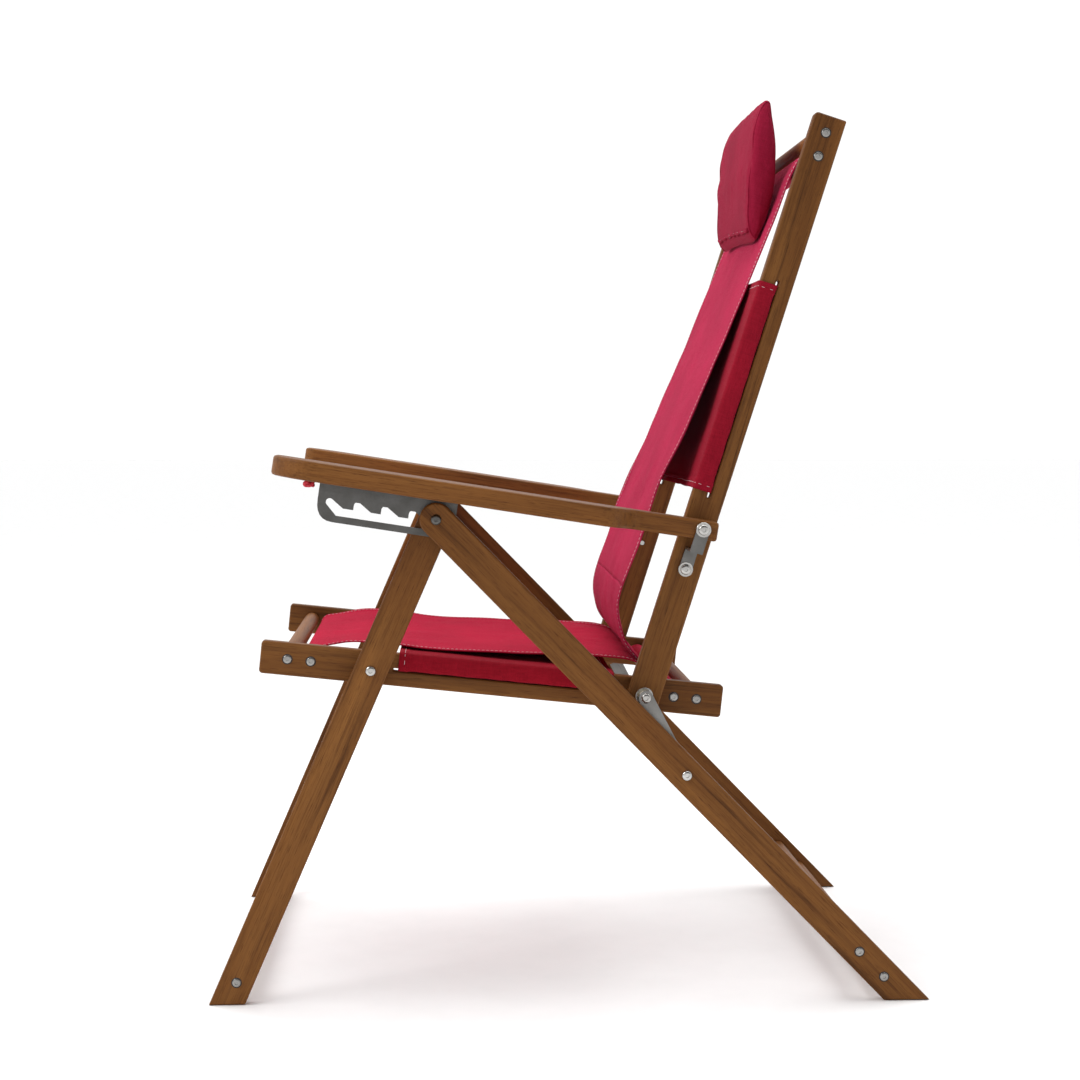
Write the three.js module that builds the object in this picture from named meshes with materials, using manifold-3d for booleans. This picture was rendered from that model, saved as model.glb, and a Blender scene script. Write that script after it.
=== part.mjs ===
// Folding wooden lounge chair with a fabric sling, five reclining positions and Z-bent arm brackets.
// Millimetres, +Z up, the sitter faces -Y, and the chair is mirrored about X = 0.
import * as THREE from 'three';
import Module from 'manifold-3d';

const manifold = await Module();
manifold.setup();

// ---- Linkage: every pivot lies in a side plane and is given as [y, z] ----
const APEX = [-153.1, 559];
const REAR_LEG_ANGLE = -45.8;
const FRONT_LEG_ANGLE = -113.4;
const APEX_TO_SEAT_PIVOT = 189.5;
const SEAT_TO_BACK_PIVOT = 317.5;
const LINK_LENGTH = 98.5;
const APEX_TO_LINK_PIVOT = 410.5;
const APEX_TO_ARM_PIVOT = 303;
const BACK_TO_ARM_PIVOT = 204.8;
const ARM_TILT = -8.8;

// ---- Layers across one side, inner face of each piece ----
const GAP = 0.3;
const BAR_THICK = 15;
const RAIL_X = 220;
const STILE_X = 237;
const FRONT_LEG_X = 254;
const STEEL_X = 270;
const STEEL_THICK = 2.5;
const REAR_LEG_X = 273.5;
const ARM_INNER_X = 254;
const ARM_TAIL_X = 294;
const ARM_OUTER_X = 334;

// ---- Lumber ----
const BAR_HALF = 19;
const EDGE_BREAK = 1.5;
const STILE_BELOW = 24;
const STILE_TOP = 700;
const RAIL_FRONT = -129;
const RAIL_REAR = 411;
const CORNER_R = 4;
const DOWEL_R = 10;
const STILE_DOWELS = [652, 680];
const RAIL_DOWELS = [-97.6, -70.6, 353.8, 380.8];
const REAR_LEG_DOWELS = [699.4, 740.9];
const FRONT_LEG_DOWEL = 581;

// ---- Armrest board: along the board from the apex, and its thickness above the apex ----
const ARM_UNDER = 23;
const ARM_THICK = 22;
const ARM_FRONT = -191;
const ARM_STEP = 203;
const ARM_REAR = 318.5;
const ARM_EDGE_BREAK = 3;
const ARM_TAIL_R = 5;
const ARM_NOSE_R = 16;
const ARM_SHOULDER = { rear: 26, rearPull: 8, frontPull: 6, front: 22 };
const ARM_SWEEP = { along: 55, alongPull: 24, acrossPull: 22, across: 48 };

// ---- Notch plate: pin seats along the board from the apex ----
const NOTCHES = [-122, -90, -58.5, -27, 0];
const NOTCH_R = 4.4;
const NOTCH_UP = 1;
const TOOTH_UP = -4.2;
const SLOT_FLOOR = -13.4;
const PLATE_FLOOR = -21.3;
const PLATE_FRONT = -136;
const PLATE_REAR = 22;
const PLATE_TOE = { along: 20, alongPull: 6, upPull: 9, up: 24 };
const FIRST_NOTCH_LIP = [3.4, 2.8];
const FIRST_RAMP = 9;
const TOOTH_TIP = 16;
const FLANGE_WIDE = 14;
const FLANGE_THICK = 2;
const FLANGE_INSET = 1;
const FLANGE_FRONT = PLATE_FRONT + 8;
const FLANGE_REAR = -26;

// ---- Arm bracket and hardware ----
const BRACKET_HOLE = 154.6;
const BRACKET_STEP = 177;
const BRACKET_HALF = 7.5;
const BOLT_R = 3;
const HOLE_R = BOLT_R + GAP;
const HEAD_R = 6;
const HEAD_HIGH = 3;
const HEAD_RIM = 1.4;
const HEAD_TAPER = 1.8;
const SOCKET_R = 2.2;
const SOCKET_DEEP = 1.6;
const DOME_HEAD_R = 7;
const CAP_R = 5.5;
const CAP_HIGH = 4;
const SPACER_R = 6.5;
const WASHER_R = 10;
const WASHER_THICK = 1.5;
const LINK_HALF = 8.5;
const KNOT_R = 8;
const KNOT_AHEAD = 12;
const KNOT_INBOARD = 8;
const KNOT_HANG = 0.62;
const KNOT_SHAPE = [1, 1.1, 0.6];
const SEAT_NUT_DEEP = 4;
const SEAT_SPACER_PROUD = 1.7;
const ARM_BOLT_INSET = 2;

// ---- Fabric ----
const CLOTH = 1.6;
const SLING_HALF = 198;
const BAND_THICK = 1.1;
const BAND_LIFT = 0.4;
const BAND_SLOT_HALF = 1.7;
const BAND_TUCK = 9;
const BACK_BAND = [247, 497];
const SEAT_BAND = [31, 281];
const SLOT_MARGIN = 6;
const PILLOW_HALF = 140;
// Back sling path from the stile pivot: [along the stile, forward of its centreline].
const BACK_PATH = [[630, 15.2], [590, 17.5], [548, 20.6], [492, 23.8], [400, 32], [300, 42], [215, 51.5],
  [170, 55.4], [128, 55.2], [89, 50.1], [59, 38.8], [42, 26]];
// Seat sling path from the seat pivot: [along the rail, above its centreline].
const SEAT_PATH = [[-50, 15.5], [-20, 21.8], [30, 23], [80, 23.6], [180, 29.5], [262, 35], [306, 34],
  [325, 23], [341, 9]];
const PILLOW = [[560, 24.5], [570, 35], [600, 46], [626, 53], [660, 62], [694, 68], [709, 67], [717, 61],
  [700, 54], [676, 42], [654, 32], [620, 22], [590, 20.5]];

const SAME_POINT = 0.02;
const rad = THREE.MathUtils.degToRad;

// ---- Plane geometry in (y, z) ----
function step(from, angle, length) {
  return [from[0] + length * Math.cos(rad(angle)), from[1] + length * Math.sin(rad(angle))];
}

function headingOf(from, to) {
  return THREE.MathUtils.radToDeg(Math.atan2(to[1] - from[1], to[0] - from[0]));
}

// The point at two given distances from p and q, on the left of the line from p to q.
function meet(p, fromP, q, fromQ) {
  const apart = Math.hypot(q[0] - p[0], q[1] - p[1]);
  const cosine = (fromP ** 2 + apart ** 2 - fromQ ** 2) / (2 * fromP * apart);
  return step(p, headingOf(p, q) + THREE.MathUtils.radToDeg(Math.acos(cosine)), fromP);
}

const seatPivot = step(APEX, FRONT_LEG_ANGLE, APEX_TO_SEAT_PIVOT);
const linkPivot = step(APEX, REAR_LEG_ANGLE, APEX_TO_LINK_PIVOT);
const backPivot = meet(seatPivot, SEAT_TO_BACK_PIVOT, linkPivot, LINK_LENGTH);
const armPivot = meet(APEX, APEX_TO_ARM_PIVOT, backPivot, BACK_TO_ARM_PIVOT);

// Local frames: x runs along the bar, y is its left side.
const rearLegFrame = { at: APEX, angle: REAR_LEG_ANGLE };
const frontLegFrame = { at: APEX, angle: FRONT_LEG_ANGLE };
const railFrame = { at: seatPivot, angle: headingOf(seatPivot, backPivot) };
const stileFrame = { at: backPivot, angle: headingOf(backPivot, armPivot) };
const linkFrame = { at: linkPivot, angle: headingOf(linkPivot, backPivot) };
const armFrame = { at: APEX, angle: ARM_TILT };

function inFrame(frame, along, left = 0) {
  return step(step(frame.at, frame.angle, along), frame.angle + 90, left);
}

// ---- Solids ----
// The same outline and holes as straight runs, with no two corners in one place.
function tidied(shape, curveSegments) {
  const apart = (a, b) => a.distanceTo(b) > SAME_POINT;
  const clean = (points) => points.filter((point, i) => apart(point, points.at(i - 1)));
  const points = shape.extractPoints(curveSegments);
  const result = new THREE.Shape(clean(points.shape));
  result.holes = points.holes.map((path) => new THREE.Path(clean(path)));
  return result;
}

// Puts a shape drawn in a frame's (along, left) plane across X from x0 to x1.
function across(shape, frame, x0, x1, edge = 0, curveSegments = 6) {
  const solid = new THREE.ExtrudeGeometry(tidied(shape, curveSegments), {
    depth: x1 - x0 - 2 * edge,
    bevelEnabled: edge > 0,
    bevelThickness: edge,
    bevelSize: edge,
    bevelOffset: -edge,
    bevelSegments: 1,
  });
  const c = Math.cos(rad(frame.angle));
  const s = Math.sin(rad(frame.angle));
  const basis = new THREE.Matrix4().makeBasis(
    new THREE.Vector3(0, c, s),
    new THREE.Vector3(0, -s, c),
    new THREE.Vector3(1, 0, 0),
  );
  basis.setPosition(x0 + edge, frame.at[0], frame.at[1]);
  return solid.applyMatrix4(basis);
}

// Turns a profile of [x, radius] pairs about an X axis through the point (y, z).
function turned(profile, [y, z], segments = 16) {
  const points = profile.map(([x, r]) => new THREE.Vector2(r, x));
  const solid = new THREE.LatheGeometry(points, segments);
  return solid.rotateZ(-Math.PI / 2).translate(0, y, z);
}

function rod(x0, x1, radius, at, segments = 24) {
  return turned([[x0, 0], [x0, radius], [x1, radius], [x1, 0]], at, segments);
}

function ring(x0, x1, outer, inner, [y, z], segments = 8) {
  const shape = new THREE.Shape().absarc(0, 0, outer, 0, 2 * Math.PI);
  shape.holes.push(new THREE.Path().absarc(0, 0, inner, 0, 2 * Math.PI));
  return across(shape, { at: [y, z], angle: 0 }, x0, x1, 0, segments);
}

// A button-head bolt whose head starts at x0 and faces out, with a plain socket.
function bolt(x0, tip, at, headRadius = HEAD_R) {
  const top = x0 + HEAD_HIGH;
  const profile = [[tip, 0], [tip, BOLT_R], [x0, BOLT_R], [x0, headRadius], [x0 + HEAD_RIM, headRadius],
    [top, headRadius - HEAD_TAPER], [top, SOCKET_R], [top - SOCKET_DEEP, SOCKET_R], [top - SOCKET_DEEP, 0]];
  return turned(profile, at);
}

// A cap nut on an inner face at x1, domed toward the chair's middle, with a stub in the hole.
function capNut(x1, tip, at) {
  const dome = [[1, 0], [0.9, 0.47], [0.55, 0.87], [0, 1]].map(([h, r]) => [x1 - h * CAP_HIGH, r * CAP_R]);
  const profile = [...dome, [x1, BOLT_R], [tip, BOLT_R], [tip, 0]];
  return turned(profile, at);
}

function toManifold(geometry) {
  const plain = geometry.index ? geometry.toNonIndexed() : geometry;
  const corners = plain.getAttribute('position').array;
  const triVerts = Uint32Array.from({ length: corners.length / 3 }, (_, i) => i);
  const mesh = new manifold.Mesh({ numProp: 3, vertProperties: Float32Array.from(corners), triVerts });
  mesh.merge();
  return new manifold.Manifold(mesh);
}

function fromManifold(solid) {
  const mesh = solid.getMesh();
  const geometry = new THREE.BufferGeometry();
  geometry.setAttribute('position', new THREE.BufferAttribute(mesh.vertProperties, 3));
  geometry.setIndex(new THREE.BufferAttribute(mesh.triVerts, 1));
  return geometry;
}

function cut(body, ...tools) {
  return fromManifold(tools.reduce((rest, tool) => rest.subtract(toManifold(tool)), toManifold(body)));
}

function join(...parts) {
  const [first, ...others] = parts.map(toManifold);
  return fromManifold(others.reduce((sum, part) => sum.add(part), first));
}

function keepInside(body, limit) {
  return fromManifold(toManifold(body).intersect(toManifold(limit)));
}

// ---- Shapes ----
function hole(along, left = 0, radius = HOLE_R) {
  return new THREE.Path().absarc(along, left, radius, 0, 2 * Math.PI, true);
}

// A slot along the local x axis, as a closed path with round ends.
function slotPath(path, x0, x1, half, left = 0) {
  path.moveTo(x0 + half, left - half);
  path.lineTo(x1 - half, left - half);
  path.absarc(x1 - half, left, half, -Math.PI / 2, Math.PI / 2);
  path.lineTo(x0 + half, left + half);
  path.absarc(x0 + half, left, half, Math.PI / 2, 1.5 * Math.PI);
  return path;
}

// A bar from x0 to x1 with the given corner radii: [x0 right, x1 right, x1 left, x0 left].
function barShape(x0, x1, half, [r0, r1, r2, r3]) {
  const shape = new THREE.Shape();
  shape.moveTo(x0 + r0, -half);
  shape.lineTo(x1 - r1, -half);
  shape.absarc(x1 - r1, -half + r1, r1, -Math.PI / 2, 0);
  shape.lineTo(x1, half - r2);
  shape.absarc(x1 - r2, half - r2, r2, 0, Math.PI / 2);
  shape.lineTo(x0 + r3, half);
  shape.absarc(x0 + r3, half - r3, r3, Math.PI / 2, Math.PI);
  shape.lineTo(x0, -half + r0);
  shape.absarc(x0 + r0, -half + r0, r0, Math.PI, 1.5 * Math.PI);
  return shape;
}

function plainShape(x0, x1, half) {
  const corners = [[x0, -half], [x1, -half], [x1, half], [x0, half]];
  return new THREE.Shape(corners.map(([x, y]) => new THREE.Vector2(x, y)));
}

// A leg with a round head about its pivot and a foot cut level with the floor.
function legShape(frame) {
  const c = Math.cos(rad(frame.angle));
  const s = Math.sin(rad(frame.angle));
  const reach = (left) => -(frame.at[1] + left * c) / s;
  const shape = new THREE.Shape();
  shape.moveTo(0, -BAR_HALF);
  shape.lineTo(reach(-BAR_HALF), -BAR_HALF);
  shape.lineTo(reach(BAR_HALF), BAR_HALF);
  shape.lineTo(0, BAR_HALF);
  shape.absarc(0, 0, BAR_HALF, Math.PI / 2, 1.5 * Math.PI);
  return shape;
}

// Offsets an open path of [x, y] points to a closed ribbon shape.
function ribbon(path, thick) {
  const line = path.map(([x, y]) => new THREE.Vector2(x, y));
  const side = (distance) => line.map((point, i) => {
    const before = line[Math.max(i - 1, 0)];
    const after = line[Math.min(i + 1, line.length - 1)];
    const run = after.clone().sub(before).normalize();
    return new THREE.Vector2(point.x - run.y * distance, point.y + run.x * distance);
  });
  return new THREE.Shape([...side(thick / 2), ...side(-thick / 2).reverse()]);
}

// Points round a dowel, from one angle to another in degrees, for a sling's wrap.
function wrap([x, y], from, to, count) {
  const radius = DOWEL_R + GAP + CLOTH / 2;
  return Array.from({ length: count }, (_, i) => {
    const angle = rad(from + ((to - from) * i) / (count - 1));
    return [x + radius * Math.cos(angle), y + radius * Math.sin(angle)];
  });
}

function smooth(path, count) {
  const curve = new THREE.SplineCurve(path.map(([x, y]) => new THREE.Vector2(x, y)));
  return curve.getPoints(count).map((point) => [point.x, point.y]);
}

// ---- One side, built at +X ----
function rearLeg() {
  const shape = legShape(rearLegFrame);
  shape.holes.push(hole(0), hole(APEX_TO_LINK_PIVOT));
  return across(shape, rearLegFrame, REAR_LEG_X, REAR_LEG_X + BAR_THICK, EDGE_BREAK);
}

function frontLeg() {
  const shape = legShape(frontLegFrame);
  shape.holes.push(hole(0), hole(APEX_TO_SEAT_PIVOT));
  return across(shape, frontLegFrame, FRONT_LEG_X, FRONT_LEG_X + BAR_THICK, EDGE_BREAK);
}

function stile() {
  const shape = barShape(-STILE_BELOW, STILE_TOP, BAR_HALF, [BAR_HALF, CORNER_R - 2, CORNER_R + 1, BAR_HALF]);
  const [low, high] = BACK_BAND;
  shape.holes.push(hole(0), hole(BRACKET_HOLE));
  shape.holes.push(slotPath(new THREE.Path(), low - SLOT_MARGIN, high + SLOT_MARGIN, BAND_SLOT_HALF));
  return across(shape, stileFrame, STILE_X, STILE_X + BAR_THICK, EDGE_BREAK);
}

function seatRail() {
  const shape = barShape(RAIL_FRONT, RAIL_REAR, BAR_HALF, [CORNER_R, CORNER_R, CORNER_R, CORNER_R]);
  const [front, rear] = SEAT_BAND;
  shape.holes.push(hole(0), hole(SEAT_TO_BACK_PIVOT));
  shape.holes.push(slotPath(new THREE.Path(), front - SLOT_MARGIN, rear + SLOT_MARGIN, BAND_SLOT_HALF));
  return across(shape, railFrame, RAIL_X, RAIL_X + BAR_THICK, EDGE_BREAK);
}

// The board's outline is drawn as (along, across), laid flat at the arm's tilt and drilled at the tail.
function armrest() {
  const tailEdge = ARM_TAIL_X - ARM_INNER_X;
  const wideEdge = ARM_OUTER_X - ARM_INNER_X;
  const shape = new THREE.Shape();
  shape.moveTo(ARM_FRONT + ARM_NOSE_R, 0);
  shape.lineTo(ARM_REAR - ARM_TAIL_R, 0);
  shape.quadraticCurveTo(ARM_REAR, 0, ARM_REAR, ARM_TAIL_R);
  shape.lineTo(ARM_REAR, tailEdge - ARM_TAIL_R);
  shape.quadraticCurveTo(ARM_REAR, tailEdge, ARM_REAR - ARM_TAIL_R, tailEdge);
  shape.lineTo(ARM_STEP + ARM_SHOULDER.rear, tailEdge);
  shape.bezierCurveTo(ARM_STEP + ARM_SHOULDER.rearPull, tailEdge, ARM_STEP + ARM_SHOULDER.frontPull, wideEdge,
    ARM_STEP - ARM_SHOULDER.front, wideEdge);
  shape.lineTo(ARM_FRONT + ARM_SWEEP.along, wideEdge);
  shape.bezierCurveTo(ARM_FRONT + ARM_SWEEP.alongPull, wideEdge, ARM_FRONT, wideEdge - ARM_SWEEP.acrossPull,
    ARM_FRONT, wideEdge - ARM_SWEEP.across);
  shape.lineTo(ARM_FRONT, ARM_NOSE_R);
  shape.quadraticCurveTo(ARM_FRONT, 0, ARM_FRONT + ARM_NOSE_R, 0);
  const board = new THREE.ExtrudeGeometry(tidied(shape, 10), {
    depth: ARM_THICK - 2 * ARM_EDGE_BREAK,
    bevelThickness: ARM_EDGE_BREAK,
    bevelSize: ARM_EDGE_BREAK,
    bevelOffset: -ARM_EDGE_BREAK,
    bevelSegments: 2,
  });
  const c = Math.cos(rad(ARM_TILT));
  const s = Math.sin(rad(ARM_TILT));
  const basis = new THREE.Matrix4().makeBasis(
    new THREE.Vector3(0, c, s),
    new THREE.Vector3(1, 0, 0),
    new THREE.Vector3(0, s, -c),
  );
  const [y, z] = inFrame(armFrame, 0, ARM_UNDER + ARM_THICK - ARM_EDGE_BREAK);
  board.applyMatrix4(basis.setPosition(ARM_INNER_X, y, z));
  return cut(board, rod(ARM_INNER_X - 5, ARM_TAIL_X + 5, HOLE_R, armPivot));
}

// A saw-toothed slot under the board: the pin seats in one of the round notches.
// The flange stops short of the last notch, clear of the round leg heads as they turn.
function notchPlate() {
  const shape = new THREE.Shape();
  const top = ARM_UNDER - GAP;
  shape.moveTo(PLATE_REAR, PLATE_FLOOR);
  shape.lineTo(PLATE_REAR, top);
  shape.lineTo(PLATE_FRONT, top);
  shape.lineTo(PLATE_FRONT, PLATE_FLOOR + PLATE_TOE.up);
  shape.bezierCurveTo(PLATE_FRONT, PLATE_FLOOR + PLATE_TOE.upPull, PLATE_FRONT + PLATE_TOE.alongPull,
    PLATE_FLOOR, PLATE_FRONT + PLATE_TOE.along, PLATE_FLOOR);
  const slot = new THREE.Path();
  const first = NOTCHES[0];
  slot.moveTo(first - FIRST_NOTCH_LIP[0], NOTCH_UP - FIRST_NOTCH_LIP[1]);
  slot.lineTo(first + FIRST_RAMP, SLOT_FLOOR);
  slot.lineTo(NOTCHES.at(-1) + NOTCH_R, SLOT_FLOOR);
  slot.lineTo(NOTCHES.at(-1) + NOTCH_R, NOTCH_UP);
  for (let i = NOTCHES.length - 1; i > 0; i -= 1) {
    const start = i === NOTCHES.length - 1 ? 0 : Math.PI / 4;
    slot.absarc(NOTCHES[i], NOTCH_UP, NOTCH_R, start, Math.PI);
    slot.lineTo(NOTCHES[i] - NOTCH_R, TOOTH_UP);
    slot.lineTo(NOTCHES[i - 1] + TOOTH_TIP, TOOTH_UP);
  }
  slot.absarc(first, NOTCH_UP, NOTCH_R, Math.PI / 4, 1.22 * Math.PI);
  shape.holes.push(slot);
  const web = across(shape, armFrame, STEEL_X, STEEL_X + STEEL_THICK);
  const flangeShape = plainShape(FLANGE_FRONT, FLANGE_REAR, FLANGE_THICK / 2);
  const [y, z] = inFrame(armFrame, 0, top - FLANGE_THICK / 2);
  const flange = across(flangeShape, { at: [y, z], angle: ARM_TILT }, STEEL_X + FLANGE_INSET,
    STEEL_X + FLANGE_WIDE);
  return join(web, flange);
}

function link() {
  const shape = slotPath(new THREE.Shape(), -LINK_HALF, LINK_LENGTH + LINK_HALF, LINK_HALF);
  shape.holes.push(hole(0), hole(LINK_LENGTH));
  return across(shape, linkFrame, STEEL_X, STEEL_X + STEEL_THICK, 0.4);
}

// A Z-bent strap: its lower eye lies on the stile, its upper eye outside the armrest's tail.
function armBracket() {
  const low = STILE_X + BAR_THICK + GAP;
  const high = ARM_TAIL_X + GAP;
  const outline = slotPath(new THREE.Shape(), BRACKET_HOLE - BRACKET_HALF, BACK_TO_ARM_PIVOT + BRACKET_HALF,
    BRACKET_HALF);
  outline.holes.push(hole(BRACKET_HOLE), hole(BACK_TO_ARM_PIVOT));
  const limit = across(outline, stileFrame, low - 1, high + STEEL_THICK + 1);
  const leg = (x0, from, to) => across(plainShape(from, to, 10), stileFrame, x0, x0 + STEEL_THICK);
  const foot = leg(low, BRACKET_HOLE - 12, BRACKET_STEP + STEEL_THICK);
  const head = leg(high, BRACKET_STEP, BACK_TO_ARM_PIVOT + 12);
  const web = across(plainShape(BRACKET_STEP, BRACKET_STEP + STEEL_THICK, 10), stileFrame, low,
    high + STEEL_THICK);
  return keepInside(join(foot, web, head), limit);
}

function cordKnot() {
  const [y, z] = inFrame(armFrame, PLATE_FRONT - KNOT_AHEAD, ARM_UNDER - KNOT_R * KNOT_HANG - GAP);
  const knot = new THREE.SphereGeometry(KNOT_R, 14, 10).scale(...KNOT_SHAPE);
  return knot.translate(STEEL_X - KNOT_INBOARD, y, z);
}

// ---- Fabric, drawn once across the whole chair ----
function backSling() {
  const dowel = [STILE_DOWELS[0], 0];
  return across(ribbon([...wrap(dowel, -200, 75, 12), ...smooth(BACK_PATH, 34)], CLOTH), stileFrame,
    -SLING_HALF, SLING_HALF);
}

function seatSling() {
  const front = wrap([RAIL_DOWELS[1], 0], 300, 105, 10);
  const rear = wrap([RAIL_DOWELS[2], 0], 140, -60, 10);
  return across(ribbon([...front, ...smooth(SEAT_PATH, 30), ...rear], CLOTH), railFrame,
    -SLING_HALF, SLING_HALF);
}

// A band that bridges both bars, turns round their edge and tucks into the slots.
// It is drawn in (x, left) and extruded along the bars.
function band(frame, barX, from, to) {
  const inside = BAND_LIFT + BAND_THICK / 2;
  const outerX = barX + BAR_THICK + inside;
  const top = BAR_HALF + inside;
  const half = [[0, top], [outerX - 2.5, top], [outerX - 0.7, top - 0.7], [outerX, top - 2.5],
    [outerX, 1.2], [outerX - 0.5, 0.3], [outerX - 1.6, 0], [outerX - BAND_TUCK, 0]];
  const left = half.slice(1).reverse().map(([x, y]) => [-x, y]);
  const solid = new THREE.ExtrudeGeometry(ribbon([...left, ...half], BAND_THICK), {
    depth: to - from,
    bevelEnabled: false,
  });
  const c = Math.cos(rad(frame.angle));
  const s = Math.sin(rad(frame.angle));
  const basis = new THREE.Matrix4().makeBasis(
    new THREE.Vector3(-1, 0, 0),
    new THREE.Vector3(0, -s, c),
    new THREE.Vector3(0, c, s),
  );
  const [y, z] = inFrame(frame, from);
  return solid.applyMatrix4(basis.setPosition(0, y, z));
}

function headPillow() {
  const shape = new THREE.Shape(PILLOW.map(([x, y]) => new THREE.Vector2(x, y)));
  return across(shape, stileFrame, -PILLOW_HALF, PILLOW_HALF, 2);
}

// ---- Assembly ----
const chair = new THREE.Group();
chair.name = 'folding_lounge_chair';

const FINISHES = {
  teak: { color: 0x9a6433, roughness: 0.55, metalness: 0 },
  steel: { color: 0x9c9a94, roughness: 0.35, metalness: 1 },
  nylon: { color: 0xd9d0b8, roughness: 0.5, metalness: 0 },
  cloth: { color: 0xb01436, roughness: 0.85, metalness: 0 },
};

function addPiece(name, geometry, finish) {
  const material = new THREE.MeshStandardMaterial({ ...FINISHES[finish], name: finish });
  const mesh = new THREE.Mesh(geometry, material);
  mesh.name = name;
  chair.add(mesh);
}

// The same solid on the other side, with its faces turned to point out again.
function mirrored(geometry) {
  const copy = geometry.toNonIndexed().scale(-1, 1, 1);
  const corners = copy.getAttribute('position');
  const flipped = new Float32Array(corners.array.length);
  for (let i = 0; i < corners.count; i += 3) {
    [0, 2, 1].forEach((from, to) => {
      flipped.set(corners.array.subarray(3 * (i + from), 3 * (i + from) + 3), 3 * (i + to));
    });
  }
  const result = new THREE.BufferGeometry();
  result.setAttribute('position', new THREE.BufferAttribute(flipped, 3));
  return result;
}

function addPair(name, geometry, finish) {
  addPiece(`left_${name}`, geometry, finish);
  addPiece(`right_${name}`, mirrored(geometry.index ? geometry : indexed(geometry)), finish);
}

function indexed(geometry) {
  const copy = geometry.clone();
  copy.setIndex(Array.from({ length: copy.getAttribute('position').count }, (_, i) => i));
  return copy;
}

const rearLegOut = REAR_LEG_X + BAR_THICK + GAP;
const frontLegOut = FRONT_LEG_X + BAR_THICK + GAP;
const stileOut = STILE_X + BAR_THICK + GAP;
const steelOut = STEEL_X + STEEL_THICK + GAP;
const washerOut = stileOut + WASHER_THICK + GAP;
const bracketOut = ARM_TAIL_X + STEEL_THICK + 2 * GAP;
const bracketHole = inFrame(stileFrame, BRACKET_HOLE);

addPair('rear_leg', rearLeg(), 'teak');
addPair('front_leg', frontLeg(), 'teak');
addPair('back_stile', stile(), 'teak');
addPair('seat_rail', seatRail(), 'teak');
addPair('armrest', armrest(), 'teak');
addPair('notch_plate', notchPlate(), 'steel');
addPair('link', link(), 'steel');
addPair('arm_bracket', armBracket(), 'steel');
addPair('apex_bolt', bolt(rearLegOut, REAR_LEG_X + GAP, APEX), 'steel');
addPair('apex_nut', capNut(FRONT_LEG_X - GAP, FRONT_LEG_X + BAR_THICK - GAP, APEX), 'steel');
addPair('seat_bolt', bolt(frontLegOut, RAIL_X + SEAT_NUT_DEEP, seatPivot), 'steel');
addPair('seat_spacer', ring(STILE_X - SEAT_SPACER_PROUD, STILE_X + BAR_THICK + SEAT_SPACER_PROUD, SPACER_R,
  HOLE_R, seatPivot), 'nylon');
addPair('seat_nut', capNut(RAIL_X - GAP, RAIL_X + SEAT_NUT_DEEP - GAP, seatPivot), 'steel');
addPair('back_bolt', capNut(RAIL_X - GAP, STEEL_X - GAP, backPivot), 'steel');
addPair('back_washer', ring(stileOut, stileOut + WASHER_THICK, WASHER_R, HOLE_R, backPivot), 'steel');
addPair('back_spacer', ring(washerOut, STEEL_X - GAP, SPACER_R, HOLE_R, backPivot), 'nylon');
addPair('link_screw', bolt(steelOut, STEEL_X, backPivot), 'steel');
addPair('link_bolt', bolt(rearLegOut, STEEL_X + GAP, linkPivot), 'steel');
addPair('arm_bolt', bolt(bracketOut, ARM_INNER_X + ARM_BOLT_INSET, armPivot, DOME_HEAD_R), 'steel');
addPair('bracket_bolt', bolt(stileOut + STEEL_THICK + GAP, STILE_X + GAP, bracketHole, DOME_HEAD_R), 'steel');
addPair('cord_knot', cordKnot(), 'cloth');

function addDowel(name, frame, along, reach) {
  addPiece(name, rod(-reach + GAP, reach - GAP, DOWEL_R, inFrame(frame, along), 28), 'teak');
}

addDowel('top_dowel_lower', stileFrame, STILE_DOWELS[0], STILE_X);
addDowel('top_dowel_upper', stileFrame, STILE_DOWELS[1], STILE_X);
addDowel('seat_dowel_front_outer', railFrame, RAIL_DOWELS[0], RAIL_X);
addDowel('seat_dowel_front_inner', railFrame, RAIL_DOWELS[1], RAIL_X);
addDowel('seat_dowel_rear_inner', railFrame, RAIL_DOWELS[2], RAIL_X);
addDowel('seat_dowel_rear_outer', railFrame, RAIL_DOWELS[3], RAIL_X);
addDowel('rear_leg_dowel_upper', rearLegFrame, REAR_LEG_DOWELS[0], REAR_LEG_X);
addDowel('rear_leg_dowel_lower', rearLegFrame, REAR_LEG_DOWELS[1], REAR_LEG_X);
addDowel('front_leg_dowel', frontLegFrame, FRONT_LEG_DOWEL, FRONT_LEG_X);

addPiece('back_band', band(stileFrame, STILE_X, ...BACK_BAND), 'cloth');
addPiece('seat_band', band(railFrame, RAIL_X, ...SEAT_BAND), 'cloth');
addPiece('back_sling', backSling(), 'cloth');
addPiece('seat_sling', seatSling(), 'cloth');
addPiece('head_pillow', headPillow(), 'cloth');

export default chair;
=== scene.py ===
import math

import bpy
from mathutils import Matrix, Vector, noise

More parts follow.
